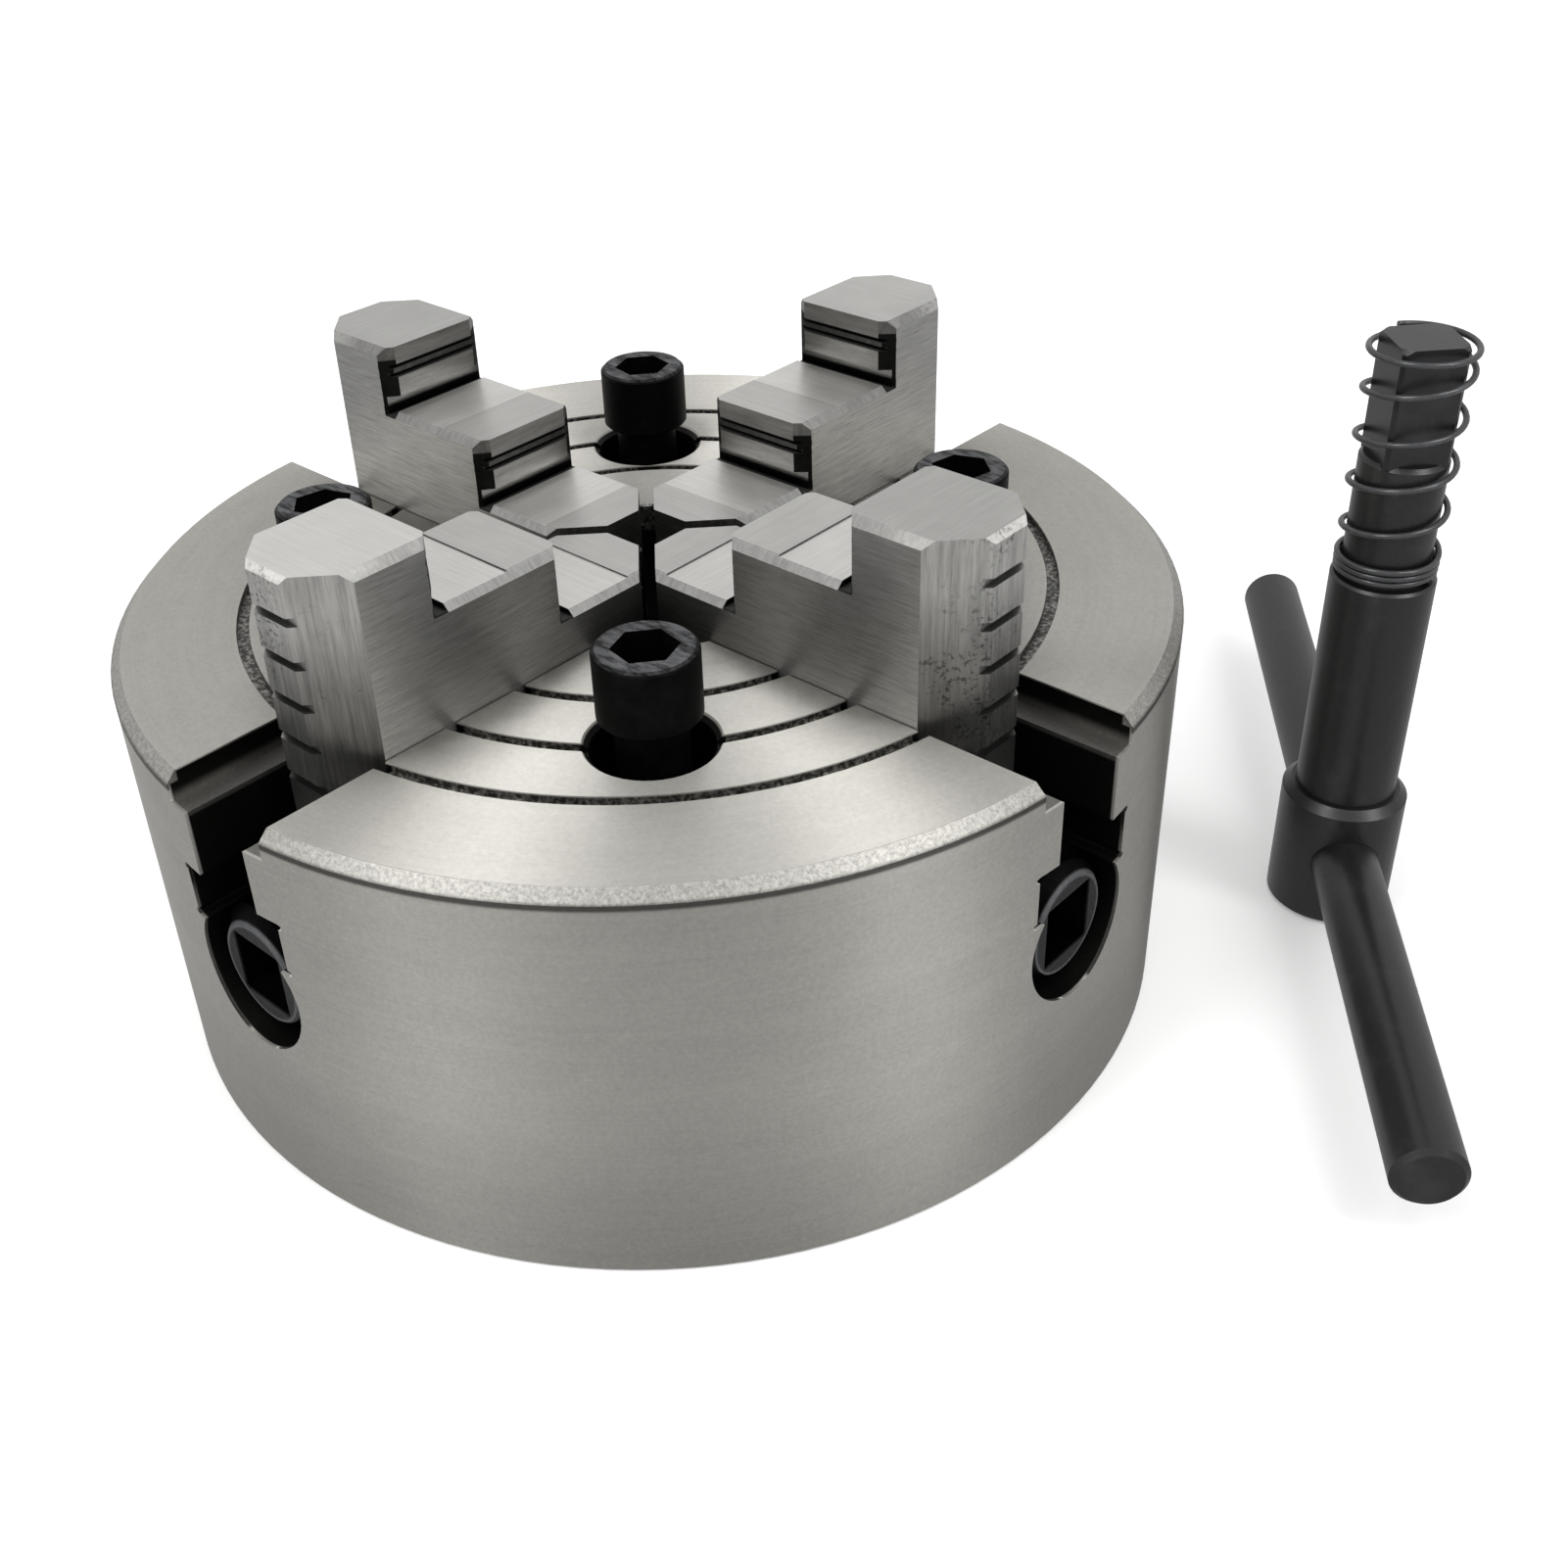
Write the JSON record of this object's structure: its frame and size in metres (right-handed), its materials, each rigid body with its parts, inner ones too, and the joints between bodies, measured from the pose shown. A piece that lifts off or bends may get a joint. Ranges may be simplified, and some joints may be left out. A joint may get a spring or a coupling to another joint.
{
  "type": "four-jaw independent lathe chuck",
  "caption": "Round steel lathe chuck with stepped jaws that each slide on their own key-driven screw, with mounting screws and a T-handled chuck key.",
  "frame": {"origin": "centre of the back face, on the spindle axis", "axes": "+Z along the spindle axis out through the front face, jaws along +X, +Y, -X and -Y"},
  "size_m": [0.2129, 0.2236, 0.0987],
  "materials": {
    "body_steel": "fine turned and ground steel",
    "jaw_steel": "ground hardened steel",
    "fork_steel": "plain machined steel",
    "black_steel": "black oxide steel",
    "key_steel": "black oxide steel",
    "spring_steel": "oil-tempered spring wire"
  },
  "bodies": {
    "chuck": {"chuck_body": "body_steel", "thrust_fork_1": "fork_steel", "thrust_fork_2": "fork_steel", "thrust_fork_3": "fork_steel", "thrust_fork_4": "fork_steel"},
    "screw_1": {"jaw_screw_1": "black_steel"},
    "jaw_1": {"jaw_1": "jaw_steel"},
    "screw_2": {"jaw_screw_2": "black_steel"},
    "jaw_2": {"jaw_2": "jaw_steel"},
    "screw_3": {"jaw_screw_3": "black_steel"},
    "jaw_3": {"jaw_3": "jaw_steel"},
    "screw_4": {"jaw_screw_4": "black_steel"},
    "jaw_4": {"jaw_4": "jaw_steel"},
    "mounting_1": {"mounting_screw_1": "black_steel"},
    "mounting_2": {"mounting_screw_2": "black_steel"},
    "mounting_3": {"mounting_screw_3": "black_steel"},
    "mounting_4": {"mounting_screw_4": "black_steel"},
    "key": {"key_shank": "key_steel", "key_bar": "key_steel"},
    "ejector": {"key_spring": "spring_steel"}
  },
  "joints": [
    {"name": "jaw_screw_1_turn", "type": "hinge", "parent": "chuck", "child": "screw_1", "pos_m": [0.053, 0, 0.0358], "axis": [1, 0, 0], "range_deg": [-72.5, 2520.5]},
    {"name": "jaw_1_slide", "type": "slide", "parent": "chuck", "child": "jaw_1", "axis": [1, 0, 0], "range_m": [-0.001, 0.035]},
    {"name": "jaw_screw_2_turn", "type": "hinge", "parent": "chuck", "child": "screw_2", "pos_m": [0, 0.053, 0.0358], "axis": [0, 1, 0], "range_deg": [-72.5, 2520.5]},
    {"name": "jaw_2_slide", "type": "slide", "parent": "chuck", "child": "jaw_2", "axis": [0, 1, 0], "range_m": [-0.001, 0.035]},
    {"name": "jaw_screw_3_turn", "type": "hinge", "parent": "chuck", "child": "screw_3", "pos_m": [-0.053, 0, 0.0358], "axis": [-1, 0, 0], "range_deg": [-72.5, 2520.5]},
    {"name": "jaw_3_slide", "type": "slide", "parent": "chuck", "child": "jaw_3", "axis": [-1, 0, 0], "range_m": [-0.001, 0.035]},
    {"name": "jaw_screw_4_turn", "type": "hinge", "parent": "chuck", "child": "screw_4", "pos_m": [0, -0.053, 0.0358], "axis": [0, -1, 0], "range_deg": [-72.5, 2520.5]},
    {"name": "jaw_4_slide", "type": "slide", "parent": "chuck", "child": "jaw_4", "axis": [0, -1, 0], "range_m": [-0.001, 0.035]},
    {"name": "mounting_screw_1_lift", "type": "slide", "parent": "chuck", "child": "mounting_1", "axis": [0, 0, 1], "range_m": [-0.01625, 0.07]},
    {"name": "mounting_screw_2_lift", "type": "slide", "parent": "chuck", "child": "mounting_2", "axis": [0, 0, 1], "range_m": [-0.01625, 0.07]},
    {"name": "mounting_screw_3_lift", "type": "slide", "parent": "chuck", "child": "mounting_3", "axis": [0, 0, 1], "range_m": [-0.01625, 0.07]},
    {"name": "mounting_screw_4_lift", "type": "slide", "parent": "chuck", "child": "mounting_4", "axis": [0, 0, 1], "range_m": [-0.01625, 0.07]},
    {"name": "key_lift", "type": "slide", "parent": "chuck", "child": "key", "axis": [0, 0, 1], "range_m": [0, 0.12]},
    {"name": "key_spring_push", "type": "slide", "parent": "key", "child": "ejector", "axis": [0, 0, -1], "range_m": [0, 0.017], "stiffness_N_per_m": 600, "deforming": ["key_spring"]}
  ],
  "couplings": [
    {"joint": "jaw_screw_1_turn", "follows": "jaw_1_slide", "rad_per_m": 1256.6},
    {"joint": "jaw_screw_2_turn", "follows": "jaw_2_slide", "rad_per_m": 1256.6},
    {"joint": "jaw_screw_3_turn", "follows": "jaw_3_slide", "rad_per_m": 1256.6},
    {"joint": "jaw_screw_4_turn", "follows": "jaw_4_slide", "rad_per_m": 1256.6}
  ]
}
